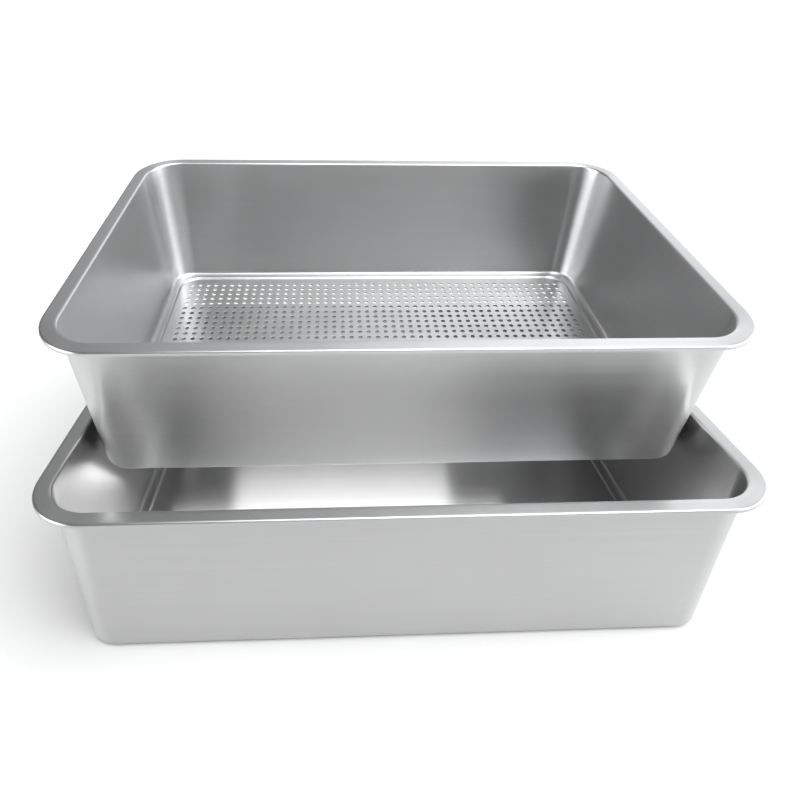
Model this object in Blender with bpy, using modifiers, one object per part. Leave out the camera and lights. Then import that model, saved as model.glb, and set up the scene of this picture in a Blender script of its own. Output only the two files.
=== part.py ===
"""Instrument tray set: a solid deep-drawn tray and a perforated one set at a slant in its mouth.

Metres, +Z up. The long side of both trays runs along X and the front is -Y. The origin is the middle of the
solid tray's base, on its underside, so the set stands on z = 0.
"""

import math

import bpy
from mathutils import Matrix, Vector

# Overall size of each tray, over the rim
LENGTH = 0.500
WIDTH = 0.325
HEIGHT = 0.135  # underside of the floor panel to the top of the rim
SHEET = 0.0010

# Rim: a flat flange with its edge turned down
FLANGE = 0.0119  # width of the flange, out to the turned edge
RIM_CORNER = 0.0425  # corner radius of the outer edge, seen from above
LIP_DROP = 0.0030
LIP_BEND = 0.0015
MOUTH_BEND = 0.0022  # rounding from the flange down into the wall

# Walls and floor
DRAFT = 0.0070  # how far each wall leans in, from the rim to the floor
FOOT_BEND = 0.0035  # rounding from the wall into the floor
FOOT_CORNER = 0.0220  # corner radius where the walls meet the floor
LEDGE = 0.0050  # flat strip that runs round the floor panel
STEP_RUN = 0.0022
STEP_DROP = 0.0015  # the floor panel lies this far below the ledge
PANEL_CORNER = 0.0190

# Perforated floor, at twice the real pitch both ways
HOLE_RADIUS = 0.0022
HOLE_PITCH = 0.0178
HOLE_COLUMNS = 24
HOLE_ROWS = 14
HOLE_SIDES = 6

# How the perforated tray sits: at a slant, its floor on the solid tray's rear rim
TILT = math.radians(10.4)
PERCH = 0.0778  # from the middle of its floor back to the line it rests on
GAP = 0.0008  # to the rim's straight stretch, which leaves 0.3 mm at the mouth's rear corners

CORNER_STEPS = 8
BEND_STEPS = 3


def bend(centre, radius, start, end):
    """Points of an arc in the (inset, height) plane, angles in degrees from +inset towards +height."""
    return [
        (
            centre[0] + radius * math.cos(math.radians(start + (end - start) * i / BEND_STEPS)),
            centre[1] + radius * math.sin(math.radians(start + (end - start) * i / BEND_STEPS)),
        )
        for i in range(BEND_STEPS + 1)
    ]


def section():
    """(inset, height, corner radius) of the sheet's upper face, from the turned edge in to the floor panel."""
    top = HEIGHT
    panel = SHEET
    ledge = panel + STEP_DROP
    lean = math.atan2(DRAFT, top - ledge)
    rim = [(0.0, top - LIP_DROP)] + bend((LIP_BEND, top - LIP_BEND), LIP_BEND, 180, 90)
    mouth = bend((FLANGE - MOUTH_BEND, top - MOUTH_BEND), MOUTH_BEND, 90, math.degrees(lean))
    foot = FLANGE + DRAFT
    heel = bend((foot + FOOT_BEND, ledge + FOOT_BEND), FOOT_BEND, 180 + math.degrees(lean), 270)
    flat_from = heel[-1][0] + LEDGE
    step = [(flat_from, ledge), (flat_from + STEP_RUN, panel)]
    rows = [(inset, height, RIM_CORNER - inset) for inset, height in rim + mouth]
    rows += [(inset, height, FOOT_CORNER - (inset - foot) * 0.5) for inset, height in heel]
    rows += [(step[0][0], step[0][1], PANEL_CORNER + STEP_RUN), (step[1][0], step[1][1], PANEL_CORNER)]
    return rows


def ring(inset, height, radius):
    """One rounded rectangle of the loft, counter-clockwise seen from above."""
    half_x, half_y = LENGTH / 2 - inset, WIDTH / 2 - inset
    points = []
    for quarter, (sx, sy) in enumerate(((1, 1), (-1, 1), (-1, -1), (1, -1))):
        for i in range(CORNER_STEPS + 1):
            angle = math.radians(90 * quarter + 90 * i / CORNER_STEPS)
            points.append(
                (
                    sx * (half_x - radius) + radius * math.cos(angle),
                    sy * (half_y - radius) + radius * math.sin(angle),
                    height,
                )
            )
    return points


def tray(name, collection, material):
    """Lofts the rounded rectangles of the section into one sheet, then gives it its thickness downwards."""
    rings = [ring(*row) for row in section()]
    count = len(rings[0])
    points = [p for r in rings for p in r]
    faces = []
    for level in range(len(rings) - 1):
        for i in range(count):
            j = (i + 1) % count
            a, b = level * count + i, level * count + j
            faces.append((a, b, b + count, a + count))
    last = (len(rings) - 1) * count
    faces.append(tuple(last + i for i in range(count)))
    mesh = bpy.data.meshes.new(name)
    mesh.from_pydata(points, [], faces)
    mesh.materials.append(material)
    obj = bpy.data.objects.new(name, mesh)
    collection.objects.link(obj)
    sheet = obj.modifiers.new("sheet", "SOLIDIFY")
    sheet.thickness = SHEET
    sheet.offset = -1
    sheet.use_even_offset = True
    sheet.use_quality_normals = True
    return obj


def punch(collection):
    """One hexagonal punch, repeated over the floor panel."""
    bpy.ops.mesh.primitive_cylinder_add(vertices=HOLE_SIDES, radius=HOLE_RADIUS, depth=10 * SHEET)
    obj = bpy.context.object
    obj.name = "floor_punch"
    for holder in list(obj.users_collection):
        holder.objects.unlink(obj)
    collection.objects.link(obj)
    for name, count, axis in (("columns", HOLE_COLUMNS, 0), ("rows", HOLE_ROWS, 1)):
        array = obj.modifiers.new(name, "ARRAY")
        array.count = count
        array.use_relative_offset = False
        array.use_constant_offset = True
        array.constant_offset_displace = [HOLE_PITCH if axis == i else 0.0 for i in range(3)]
        array.use_merge_vertices = False
    obj.hide_render = True
    obj.display_type = "WIRE"
    return obj


def steel(name, shade):
    material = bpy.data.materials.new(name)
    material.use_nodes = True
    shader = material.node_tree.nodes["Principled BSDF"]
    shader.inputs["Base Color"].default_value = (shade, shade, shade, 1.0)
    shader.inputs["Metallic"].default_value = 1.0
    shader.inputs["Roughness"].default_value = 0.32
    return material


for old in list(bpy.data.objects):
    bpy.data.objects.remove(old, do_unlink=True)

part = bpy.data.collections.new("instrument_tray")
cutters = bpy.data.collections.new("cutters")
bpy.context.scene.collection.children.link(part)
bpy.context.scene.collection.children.link(cutters)
cutters.hide_render = True

solid_tray = tray("solid_tray", part, steel("solid_tray_steel", 0.62))

# The perforated tray's floor lies over the rounded inner edge of the solid tray's rear rim, all but the gap
edge = Vector((0.0, WIDTH / 2 - FLANGE + MOUTH_BEND, HEIGHT - MOUTH_BEND))
up = Vector((0.0, -math.sin(TILT), math.cos(TILT)))
contact = edge + up * (MOUTH_BEND + GAP)
placing = (
    Matrix.Translation(contact) @ Matrix.Rotation(TILT, 4, "X") @ Matrix.Translation((0.0, -PERCH, 0.0))
)

perforated_tray = tray("perforated_tray", part, steel("perforated_tray_steel", 0.66))
perforated_tray.matrix_world = placing
floor_punch = punch(cutters)
floor_punch.matrix_world = placing @ Matrix.Translation(
    (-HOLE_PITCH * (HOLE_COLUMNS - 1) / 2, -HOLE_PITCH * (HOLE_ROWS - 1) / 2, 0.0)
)
holes = perforated_tray.modifiers.new("holes", "BOOLEAN")
holes.operation = "DIFFERENCE"
holes.solver = "EXACT"
holes.object = floor_punch
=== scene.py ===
"""Looks of the instrument tray set: two satin stainless trays, one perforated, on a pale studio floor."""

import math

import bmesh
import bpy
from mathutils import Matrix, Vector, noise


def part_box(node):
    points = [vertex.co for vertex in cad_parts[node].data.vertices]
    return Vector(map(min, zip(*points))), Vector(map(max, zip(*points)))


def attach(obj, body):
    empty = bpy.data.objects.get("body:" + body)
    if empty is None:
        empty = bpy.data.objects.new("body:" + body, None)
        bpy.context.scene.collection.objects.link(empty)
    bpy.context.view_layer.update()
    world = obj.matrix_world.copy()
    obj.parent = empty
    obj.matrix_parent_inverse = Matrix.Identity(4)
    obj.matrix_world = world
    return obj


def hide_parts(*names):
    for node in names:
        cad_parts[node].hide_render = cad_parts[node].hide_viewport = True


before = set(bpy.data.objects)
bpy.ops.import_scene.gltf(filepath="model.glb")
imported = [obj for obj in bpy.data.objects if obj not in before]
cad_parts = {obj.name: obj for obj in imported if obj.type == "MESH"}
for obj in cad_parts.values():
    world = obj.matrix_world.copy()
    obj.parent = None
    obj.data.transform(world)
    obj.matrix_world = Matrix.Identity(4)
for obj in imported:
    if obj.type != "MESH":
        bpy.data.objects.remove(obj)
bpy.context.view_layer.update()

# Overall size, from the frame; the perforated tray is the same pressing as the solid one
low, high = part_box("solid_tray")
LENGTH = high.x - low.x
WIDTH = high.y - low.y
HEIGHT = high.z
SHEET = 0.0010

# The pressing's section, as the CAD has it
FLANGE = 0.0119
RIM_CORNER = 0.0425
LIP_DROP = 0.0030
LIP_BEND = 0.0015
MOUTH_BEND = 0.0022
DRAFT = 0.0070
FOOT_BEND = 0.0035
FOOT_CORNER = 0.0220
LEDGE = 0.0050
STEP_RUN = 0.0022
STEP_DROP = 0.0015
PANEL_CORNER = 0.0190
PANEL_RING = 0.0012  # flat ring between the step and the floor's grid

# The perforated floor, every hole of it
HOLE_RADIUS = 0.0022
HOLE_LEAD = 0.0002  # bevel where the punch went in
HOLE_PITCH = 0.0089
HOLE_COLUMNS = 48
HOLE_ROWS = 28

# How the perforated tray leans on the solid one
TILT = math.radians(10.4)
PERCH = 0.0778  # along its base, from the base's middle to the point over the rear rim
PERCH_GAP = 0.0008

# Fineness of the lofts
CORNER_STEPS = 16
LONG_STEPS = 22
SHORT_STEPS = 14
BEND_STEPS = 6
RIM_STEPS = 4
WALL_STEPS = 10
LEDGE_STEPS = 3
STEP_SHARES = (0.0, 0.1, 0.22, 0.36, 0.5, 0.64, 0.78, 0.9, 1.0)
HOLE_SIDE = 4  # lattice steps along a side of a punched cell; a hole has four times as many sides
SHARP_ANGLE = math.radians(30)

# Unevenness of drawn sheet: slight waves in the walls and the floor
WAVE_DEPTH = 0.00022
WAVE_SIZE = 0.085
TRUE_RIM = 0.012  # no waves this far below the rim's top, and full ones RIM_FADE further down
RIM_FADE = 0.030
TRUE_FOOT = 0.004  # no waves this far above the foot, and full ones FOOT_FADE further up
FOOT_FADE = 0.020

PLACES = "sheet"  # the UV layer that holds each point's place along the sheet, in metres


def arc(centre, radius, start, end):
    """Points of an arc in the (inset, height) plane, angles in degrees from +inset towards +height."""
    shares = [i / BEND_STEPS for i in range(BEND_STEPS + 1)]
    turns = [math.radians(start + (end - start) * share) for share in shares]
    middle = Vector(centre)
    return [middle + Vector((radius * math.cos(t), radius * math.sin(t))) for t in turns]


def straight(start, end, steps):
    """Points between two points of the section, without its ends."""
    return [Vector(start).lerp(Vector(end), i / steps) for i in range(1, steps)]


def upper_section():
    """(point, corner radius) of the sheet's upper face, from the turned edge in to the floor panel."""
    ledge = SHEET + STEP_DROP
    lean = math.degrees(math.atan2(DRAFT, HEIGHT - ledge))
    foot = FLANGE + DRAFT
    lip = arc((LIP_BEND, HEIGHT - LIP_BEND), LIP_BEND, 180, 90)
    mouth = arc((FLANGE - MOUTH_BEND, HEIGHT - MOUTH_BEND), MOUTH_BEND, 90, lean)
    heel = arc((foot + FOOT_BEND, ledge + FOOT_BEND), FOOT_BEND, 180 + lean, 270)
    edge = Vector((0.0, HEIGHT - LIP_DROP))
    crest = Vector((heel[-1].x + LEDGE, ledge))
    valley = Vector((crest.x + STEP_RUN, SHEET))
    rim = [edge] + lip + straight(lip[-1], mouth[0], RIM_STEPS) + mouth
    rows = [(p, RIM_CORNER - p.x) for p in rim]
    wall = straight(mouth[-1], heel[0], WALL_STEPS)
    top_corner = RIM_CORNER - FLANGE
    for i, p in enumerate(wall, 1):
        share = i / WALL_STEPS
        rows.append((p, top_corner + (FOOT_CORNER - top_corner) * share))
    rows += [(p, FOOT_CORNER - (p.x - foot) / 2) for p in heel]
    crest_corner = PANEL_CORNER + STEP_RUN
    rows += [(p, crest_corner) for p in straight(heel[-1], crest, LEDGE_STEPS)]
    for share in STEP_SHARES:
        drop = (1 - math.cos(math.pi * share)) / 2
        point = Vector((crest.x + STEP_RUN * share, ledge - STEP_DROP * drop))
        rows.append((point, crest_corner - STEP_RUN * share))
    rows.append((valley + Vector((PANEL_RING, 0.0)), PANEL_CORNER - PANEL_RING))
    return rows


def under_section(rows):
    """The same rows one sheet thickness below, so that each ring has a partner."""
    below = []
    for i, (point, corner) in enumerate(rows):
        before = rows[max(i - 1, 0)][0]
        after = rows[min(i + 1, len(rows) - 1)][0]
        along = (after - before).normalized()
        down = Vector((along.y, -along.x))
        moved = point + down * SHEET
        below.append((moved, corner - (moved.x - point.x)))
    return below


def ring(inset, height, corner):
    """One rounded rectangle, counter-clockwise from above, with its straight sides divided too."""
    half_x, half_y = LENGTH / 2 - inset, WIDTH / 2 - inset
    points = []
    for quarter, (sx, sy) in enumerate(((1, 1), (-1, 1), (-1, -1), (1, -1))):
        centre = Vector((sx * (half_x - corner), sy * (half_y - corner), height))
        for i in range(CORNER_STEPS + 1):
            turn = math.radians(90 * quarter + 90 * i / CORNER_STEPS)
            points.append(centre + corner * Vector((math.cos(turn), math.sin(turn), 0)))
        side = Vector(((-1, 0), (0, -1), (1, 0), (0, 1))[quarter])
        long_side = quarter % 2 == 0
        run = 2 * ((half_x if long_side else half_y) - corner)
        steps = LONG_STEPS if long_side else SHORT_STEPS
        last = points[-1]
        points += [last + side.to_3d() * (run * i / steps) for i in range(1, steps)]
    return points


class Sheet:
    """Points, faces and their places along the sheet, gathered before the mesh is made."""

    def __init__(self):
        self.points = []
        self.faces = []
        self.places = []
        # faces of the hole bores, which get the nearly black material: painted shade in the holes
        self.cut = []

    def add_points(self, points):
        first = len(self.points)
        self.points += [tuple(p) for p in points]
        return list(range(first, len(self.points)))

    def add_face(self, corners, places, cut=False):
        self.faces.append(tuple(corners))
        self.places.append(places)
        self.cut.append(cut)

    def loft(self, rows, reverse):
        """Joins the rings of one face of the sheet; gives back the first and last ring's points."""
        rings = [self.add_points(ring(p.x, p.y, corner)) for p, corner in rows]
        outline = ring(FLANGE, 0, RIM_CORNER - FLANGE)
        count = len(outline)
        around = [0.0]
        for i in range(count):
            around.append(around[-1] + (outline[(i + 1) % count] - outline[i]).length)
        down = [0.0]
        for (a, _), (b, _) in zip(rows, rows[1:]):
            down.append(down[-1] + (b - a).length)
        for level in range(len(rows) - 1):
            upper, lower = rings[level], rings[level + 1]
            for i in range(count):
                j = (i + 1) % count
                corners = [upper[i], upper[j], lower[j], lower[i]]
                places = [
                    (around[i], down[level]),
                    (around[i + 1], down[level]),
                    (around[i + 1], down[level + 1]),
                    (around[i], down[level + 1]),
                ]
                if reverse:
                    corners.reverse()
                    places.reverse()
                self.add_face(corners, places)
        return rings[0], rings[-1]


def flat_place(point):
    return (point[0] + LENGTH, point[1] + WIDTH)


class Lattice:
    """The floor's grid of square cells at one height, each side of a cell cut in a few steps."""

    def __init__(self, sheet, height, side):
        self.side = side
        self.right, self.top = HOLE_COLUMNS * side, HOLE_ROWS * side
        keys = [
            (column, row)
            for column in range(self.right + 1)
            for row in range(self.top + 1)
            if column % side == 0 or row % side == 0
        ]
        numbers = sheet.add_points((*self.place(*key), height) for key in keys)
        self.points = dict(zip(keys, numbers))

    def place(self, column, row):
        x = HOLE_PITCH * (column / self.side - HOLE_COLUMNS / 2)
        y = HOLE_PITCH * (row / self.side - HOLE_ROWS / 2)
        return x, y

    def outline(self, column, row, width, height):
        """Points round a block of the grid, counter-clockwise from its lower left corner."""
        right, top = column + width, row + height
        keys = [(i, row) for i in range(column, right)]
        keys += [(right, j) for j in range(row, top)]
        keys += [(i, top) for i in range(right, column, -1)]
        keys += [(column, j) for j in range(top, row, -1)]
        return [self.points[key] for key in keys]

    def edge(self):
        return self.outline(0, 0, self.right, self.top)

    def cells(self):
        for column in range(0, self.right, self.side):
            for row in range(0, self.top, self.side):
                centre = self.place(column + self.side / 2, row + self.side / 2)
                yield self.outline(column, row, self.side, self.side), centre


def add_flat(sheet, corners, cut=False):
    sheet.add_face(corners, [flat_place(sheet.points[c]) for c in corners], cut)


def plain_cells(sheet, upper, lower):
    for above, _ in upper.cells():
        add_flat(sheet, above)
    for below, _ in lower.cells():
        add_flat(sheet, below[::-1])


def punched_cells(sheet, upper, lower):
    """Every cell with its round hole: the upper face, the bevel, the bore and the under face; the bore is
    rougher steel painted nearly black, painted shade in the holes.
    """
    count = 4 * HOLE_SIDE
    turns = [math.radians(225) + 2 * math.pi * i / count for i in range(count)]
    bevel = (HOLE_RADIUS + HOLE_LEAD, SHEET)
    bore_top, bore_foot = (HOLE_RADIUS, SHEET - HOLE_LEAD), (HOLE_RADIUS, 0.0)
    bore = 2  # the third band of faces, counted from the upper face; it gets the nearly black material, painted shade in the holes
    for (above, (x, y)), (below, _) in zip(upper.cells(), lower.cells()):
        circles = [
            sheet.add_points([(x + r * math.cos(t), y + r * math.sin(t), z) for t in turns])
            for r, z in (bevel, bore_top, bore_foot)
        ]
        loops = [above] + circles + [below]
        for step, (outer, inner) in enumerate(zip(loops, loops[1:])):
            for i in range(count):
                j = (i + 1) % count
                add_flat(sheet, [outer[i], outer[j], inner[j], inner[i]], cut=step == bore)


def fill_border(bm, outer, inner):
    """Triangles between the panel's outline and the lattice's, both flat."""
    edges = []
    for loop in (outer, inner):
        for a, b in zip(loop, loop[1:] + loop[:1]):
            pair = (bm.verts[a], bm.verts[b])
            edges.append(bm.edges.get(pair) or bm.edges.new(pair))
    made = bmesh.ops.triangle_fill(bm, use_beauty=True, edges=edges)["geom"]
    return [f for f in made if isinstance(f, bmesh.types.BMFace)]


def smooth(share):
    share = max(0.0, min(1.0, share))
    return share * share * (3 - 2 * share)


def outward(point):
    """Level direction out of the nearest wall, turning smoothly round the corners."""
    x = max(0.0, abs(point.x) - (LENGTH / 2 - RIM_CORNER)) * math.copysign(1, point.x)
    y = max(0.0, abs(point.y) - (WIDTH / 2 - RIM_CORNER)) * math.copysign(1, point.y)
    direction = Vector((x, y, 0))
    return direction.normalized() if direction.length > 1e-6 else Vector((0, 0, 1))


def wave(point, seed):
    """Outward shift of the walls' slight waves; the rim and the foot stay true."""
    below_rim = smooth((HEIGHT - TRUE_RIM - point.z) / RIM_FADE)
    above_foot = smooth((point.z - TRUE_FOOT) / FOOT_FADE)
    swing = noise.noise(point / WAVE_SIZE + Vector((seed, 0, 0)))
    return WAVE_DEPTH * below_rim * above_foot * swing


def crown(point, seed):
    """Upward shift of the floor's grid, none at its edges, with slight waves of its own."""
    share_x = 1 - (abs(point.x) / (HOLE_PITCH * HOLE_COLUMNS / 2)) ** 2
    share_y = 1 - (abs(point.y) / (HOLE_PITCH * HOLE_ROWS / 2)) ** 2
    lift = smooth(share_x * 2) * smooth(share_y * 2)
    swing = noise.noise(point / WAVE_SIZE + Vector((seed, 5, 0)))
    return WAVE_DEPTH * lift * (1.0 + swing)


def close_edge(sheet, upper, under):
    """The narrow cut edge of the sheet, all round the rim."""
    places = [(0, 0), (SHEET, 0), (SHEET, SHEET), (0, SHEET)]
    for i in range(len(upper)):
        j = (i + 1) % len(upper)
        sheet.add_face([upper[j], upper[i], under[i], under[j]], places)


def shape_sheet(perforated):
    """Every face but the two borders round the floor's grid, with the outlines of both borders."""
    sheet = Sheet()
    rows = upper_section()
    top_edge, panel_above = sheet.loft(rows, reverse=True)
    under_edge, panel_below = sheet.loft(under_section(rows), reverse=False)
    close_edge(sheet, top_edge, under_edge)
    side = HOLE_SIDE if perforated else 1
    upper, lower = Lattice(sheet, SHEET, side), Lattice(sheet, 0.0, side)
    fill_floor = punched_cells if perforated else plain_cells
    fill_floor(sheet, upper, lower)
    return sheet, [(panel_above, upper.edge()), (panel_below, lower.edge())]


def write_places(mesh, sheet):
    """Gives each face its places along the sheet and its material: the second one, nearly black as
    painted shade, in the bores.
    """
    layer = mesh.uv_layers.new(name=PLACES)
    for polygon, places, cut in zip(mesh.polygons, sheet.places, sheet.cut):
        polygon.material_index = int(cut)
        for loop, place in zip(polygon.loop_indices, places):
            layer.data[loop].uv = place


def close_floor(bm, borders):
    """Fills both borders round the grid and gives their faces places along the sheet."""
    layer = bm.loops.layers.uv[PLACES]
    faces = [face for outer, inner in borders for face in fill_border(bm, outer, inner)]
    for face in faces:
        for loop in face.loops:
            loop[layer].uv = flat_place(loop.vert.co)


def unsettle(bm, seed):
    """Lifts the floor a little and moves the walls in and out by their waves."""
    for vert in bm.verts:
        if vert.co.z < SHEET + STEP_DROP / 2:
            vert.co.z += crown(vert.co, seed)
        else:
            vert.co += outward(vert.co) * wave(vert.co, seed)


def make_tray(name, perforated, seed):
    """The whole pressing as one closed mesh, standing level at the origin."""
    sheet, borders = shape_sheet(perforated)
    mesh = bpy.data.meshes.new(name)
    mesh.from_pydata(sheet.points, [], sheet.faces)
    write_places(mesh, sheet)
    bm = bmesh.new()
    bm.from_mesh(mesh)
    bm.verts.ensure_lookup_table()
    close_floor(bm, borders)
    bmesh.ops.recalc_face_normals(bm, faces=bm.faces)
    unsettle(bm, seed)
    bm.to_mesh(mesh)
    bm.free()
    mesh.shade_smooth()
    mesh.set_sharp_from_angle(angle=SHARP_ANGLE)
    return bpy.data.objects.new(name, mesh)


def nodes_of(material):
    material.use_nodes = True
    tree = material.node_tree
    return tree, tree.nodes["Principled BSDF"]


def noise_node(tree, vector, scale, detail, roughness):
    pattern = tree.nodes.new("ShaderNodeTexNoise")
    pattern.inputs["Scale"].default_value = scale
    pattern.inputs["Detail"].default_value = detail
    pattern.inputs["Roughness"].default_value = roughness
    tree.links.new(vector, pattern.inputs["Vector"])
    return pattern.outputs["Fac"]


def drawn_noise(tree, along, across, detail, roughness, slant=0.0):
    """Noise drawn out along the sheet; along and across are its grains in a metre each way."""
    place = tree.nodes.new("ShaderNodeUVMap")
    place.uv_map = PLACES
    grain = tree.nodes.new("ShaderNodeMapping")
    grain.inputs["Scale"].default_value = (along, across, 1.0)
    grain.inputs["Rotation"].default_value = (0.0, 0.0, slant)
    tree.links.new(place.outputs["UV"], grain.inputs["Vector"])
    return noise_node(tree, grain.outputs["Vector"], 1.0, detail, roughness)


def blend(tree, first, second, share):
    mix = tree.nodes.new("ShaderNodeMix")
    mix.inputs["Factor"].default_value = share
    tree.links.new(first, mix.inputs["A"])
    tree.links.new(second, mix.inputs["B"])
    return mix.outputs["Result"]


def remap(tree, value, source, target):
    scale = tree.nodes.new("ShaderNodeMapRange")
    scale.inputs["From Min"].default_value, scale.inputs["From Max"].default_value = source
    scale.inputs["To Min"].default_value, scale.inputs["To Max"].default_value = target
    tree.links.new(value, scale.inputs["Value"])
    return scale.outputs["Result"]


def tinted(tree, value, shade):
    """Grey about the shade, a little warmer where it is dark and cooler where it is light."""
    ramp = tree.nodes.new("ShaderNodeValToRGB")
    dark, light = ramp.color_ramp.elements
    dark.color = (shade * 0.86, shade * 0.86, shade * 0.855, 1)
    light.color = (shade * 1.12, shade * 1.12, shade * 1.125, 1)
    tree.links.new(value, ramp.inputs["Fac"])
    return ramp.outputs["Color"]


def relief(tree, height, strength, depth):
    bump = tree.nodes.new("ShaderNodeBump")
    bump.inputs["Strength"].default_value = strength
    bump.inputs["Distance"].default_value = depth
    tree.links.new(height, bump.inputs["Height"])
    return bump


def brush_direction(tree):
    along = tree.nodes.new("ShaderNodeTangent")
    along.direction_type = "UV_MAP"
    along.uv_map = PLACES
    return along.outputs["Tangent"]


def satin_steel(name, shade, roughness):
    """Brushed stainless sheet: fine lines along it, cloudy polish and a few long hair scratches."""
    material = bpy.data.materials.new(name)
    tree, shader = nodes_of(material)
    link = tree.links.new
    lines = drawn_noise(tree, along=9.0, across=1500.0, detail=3.0, roughness=0.6)
    bands = drawn_noise(tree, along=3.0, across=320.0, detail=2.0, roughness=0.5)
    brushing = blend(tree, lines, bands, 0.5)
    where = tree.nodes.new("ShaderNodeTexCoord")
    clouds = noise_node(tree, where.outputs["Object"], scale=14.0, detail=4.0, roughness=0.55)
    finish = blend(tree, brushing, clouds, 0.35)
    rough = remap(tree, finish, (0.25, 0.75), (roughness - 0.05, roughness + 0.06))
    link(rough, shader.inputs["Roughness"])
    link(tinted(tree, finish, shade), shader.inputs["Base Color"])

    hairs = drawn_noise(tree, along=14.0, across=260.0, detail=1.0, roughness=0.4, slant=0.05)
    scratches = remap(tree, hairs, (0.66, 0.74), (0.0, 1.0))
    brushed = relief(tree, brushing, strength=0.05, depth=0.00012)
    scored = relief(tree, scratches, strength=0.04, depth=0.0001)
    scored.invert = True
    link(brushed.outputs["Normal"], scored.inputs["Normal"])
    link(scored.outputs["Normal"], shader.inputs["Normal"])

    link(brush_direction(tree), shader.inputs["Tangent"])
    shader.inputs["Metallic"].default_value = 1.0
    shader.inputs["Anisotropic"].default_value = 0.8
    shader.inputs["Anisotropic Rotation"].default_value = 0.25
    return material


def add_tray(name, node, perforated, placing, materials, seed):
    tray = make_tray(name, perforated, seed)
    tray.data.transform(placing)
    for material in materials:
        tray.data.materials.append(material)
    bpy.context.scene.collection.objects.link(tray)
    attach(tray, node)
    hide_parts(node)


def perch():
    """Where the perforated tray sits: over the rounded inner edge of the solid tray's rear rim."""
    edge = Vector((0.0, WIDTH / 2 - FLANGE + MOUTH_BEND, HEIGHT - MOUTH_BEND))
    up = Vector((0.0, -math.sin(TILT), math.cos(TILT)))
    contact = edge + up * (MOUTH_BEND + PERCH_GAP)
    slide = Matrix.Translation((0, -PERCH, 0))
    return Matrix.Translation(contact) @ Matrix.Rotation(TILT, 4, "X") @ slide


add_tray(
    "solid_tray_sheet", "solid_tray", False, Matrix.Identity(4),
    [satin_steel("satin_steel_solid", 0.52, 0.33)], 3.0,
)
add_tray(
    "perforated_tray_sheet", "perforated_tray", True, perch(),
    [
        # a lighter shade than the solid tray's steel (0.58 against 0.52): painted light, the same
        # stainless made to look more brightly lit
        satin_steel("satin_steel_perforated", 0.58, 0.32),
        # rougher steel in the hole bores, as a cut edge is; its nearly black shade is painted shade in
        # the holes
        satin_steel("punched_bore_painted_shade", 0.05, 0.5),
    ],
    7.0,
)


# Studio: a pale floor, two soft panels inside the solid tray, and a surround for the steel to reflect

FLOOR_SIZE = 30.0
WHITE_BACKDROP = 1.1  # strength of the surround as the camera itself sees it


def studio_floor():
    bpy.ops.mesh.primitive_plane_add(size=FLOOR_SIZE, location=(0, 0, 0))
    floor = bpy.context.object
    floor.name = "studio_floor"
    material = bpy.data.materials.new("pale_floor")
    _, shader = nodes_of(material)
    shader.inputs["Base Color"].default_value = (0.65, 0.65, 0.638, 1)
    shader.inputs["Roughness"].default_value = 0.9
    shader.inputs["Specular IOR Level"].default_value = 0.1
    floor.data.materials.append(material)


def soft_panel(name, place, aim, size, power):
    data = bpy.data.lights.new(name, "AREA")
    data.shape = "RECTANGLE"
    data.size, data.size_y = size
    data.energy = power
    light = bpy.data.objects.new(name, data)
    light.location = place
    light.visible_camera = False
    light.rotation_euler = (Vector(aim) - Vector(place)).to_track_quat("-Z", "Y").to_euler()
    bpy.context.scene.collection.objects.link(light)


def lobe(tree, azimuth, elevation, spread, edge, gain):
    """A bright patch, full within spread degrees of its middle and gone edge further on."""
    add, link = tree.nodes.new, tree.links.new
    turn, rise = math.radians(azimuth), math.radians(elevation)  # azimuth 0 is behind the trays
    axis = (math.sin(turn) * math.cos(rise), math.cos(turn) * math.cos(rise), math.sin(rise))
    where = add("ShaderNodeTexCoord")
    dot = add("ShaderNodeVectorMath")
    dot.operation = "DOT_PRODUCT"
    dot.inputs[1].default_value = axis
    link(where.outputs["Generated"], dot.inputs[0])
    fade = add("ShaderNodeMapRange")
    fade.interpolation_type = "SMOOTHSTEP"
    fade.inputs["From Min"].default_value = math.cos(math.radians(spread + edge))
    fade.inputs["From Max"].default_value = math.cos(math.radians(spread))
    fade.inputs["To Max"].default_value = gain
    link(dot.outputs["Value"], fade.inputs["Value"])
    return fade.outputs["Result"]


def total_of(tree, values):
    """The sum of some sockets."""
    total = values[0]
    for value in values[1:]:
        joined = tree.nodes.new("ShaderNodeMath")
        tree.links.new(total, joined.inputs[0])
        tree.links.new(value, joined.inputs[1])
        total = joined.outputs[0]
    return total


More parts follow.
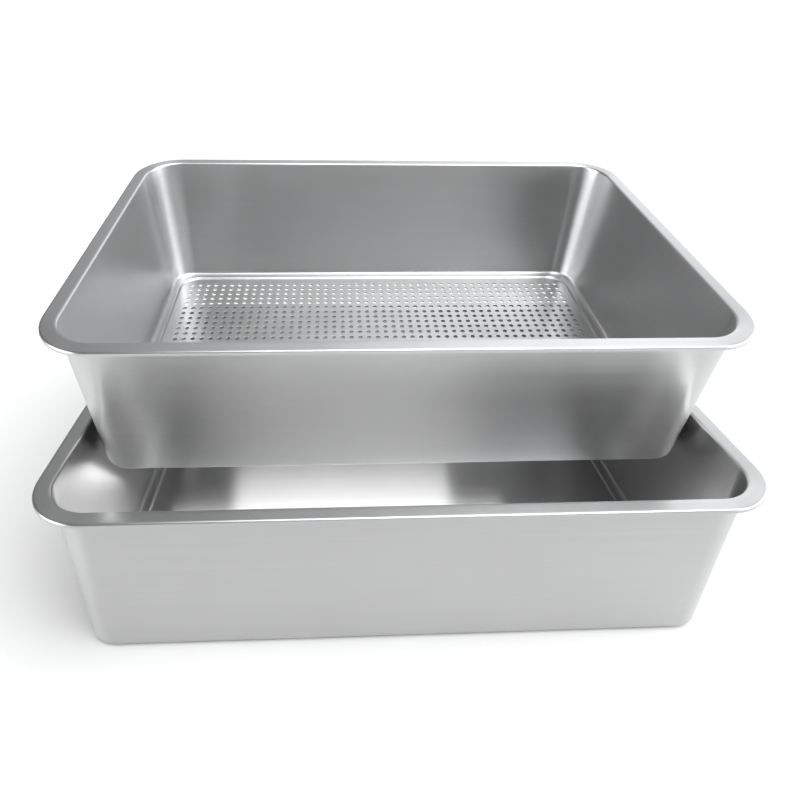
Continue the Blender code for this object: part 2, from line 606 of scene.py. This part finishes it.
def surround(base, lobes):
    """The world: an even grey with soft bright patches, and plain white to the camera."""
    world = bpy.data.worlds.new("studio")
    bpy.context.scene.world = world
    world.use_nodes = True
    tree = world.node_tree
    add, link = tree.nodes.new, tree.links.new
    lifted = add("ShaderNodeMath")
    lifted.inputs[1].default_value = base
    link(total_of(tree, [lobe(tree, *values) for values in lobes]), lifted.inputs[0])
    ray = add("ShaderNodeLightPath")
    seen = add("ShaderNodeMix")
    link(ray.outputs["Is Camera Ray"], seen.inputs["Factor"])
    link(lifted.outputs[0], seen.inputs["A"])
    seen.inputs["B"].default_value = WHITE_BACKDROP
    link(seen.outputs["Result"], tree.nodes["Background"].inputs["Strength"])
    tree.nodes["Background"].inputs["Color"].default_value = (0.975, 0.985, 1.0, 1)


def add_camera():
    """The photograph's view, slightly from the left and above."""
    data = bpy.data.cameras.new("camera")
    data.lens = 27.58
    data.shift_x = 0.0479
    data.shift_y = -0.1264
    data.clip_start = 0.01
    camera = bpy.data.objects.new("camera", data)
    pitch, yaw, roll = math.radians(24.1), math.radians(3.04), math.radians(0.92)
    turn = Matrix.Rotation(-yaw, 4, "Z") @ Matrix.Rotation(math.pi / 2 - pitch, 4, "X")
    turn = turn @ Matrix.Rotation(roll, 4, "Z")
    camera.matrix_world = Matrix.Translation((-0.0510, -0.4565, 0.4178)) @ turn
    bpy.context.scene.collection.objects.link(camera)
    bpy.context.scene.camera = camera


studio_floor()
surround(0.16, [  # azimuth, elevation, spread, edge, gain
    (102, 10, 14, 26, 4.2),
    (40, 8, 18, 28, 1.2),
    (246, 9, 10, 20, 6.4),
    (135, 68, 10, 26, 6.0),
    (10, 40, 22, 25, 0.4),
])
soft_panel(
    "inner_panel", place=(-0.04, 0.04, 0.085), aim=(-0.04, 0.01, -0.010),
    size=(0.24, 0.12), power=0.18,
)
soft_panel(
    "inner_front_panel", place=(-0.045, -0.015, 0.062), aim=(-0.045, -0.175, -0.058),
    size=(0.33, 0.08), power=0.19,
)
add_camera()
bpy.context.scene.view_settings.view_transform = "Standard"
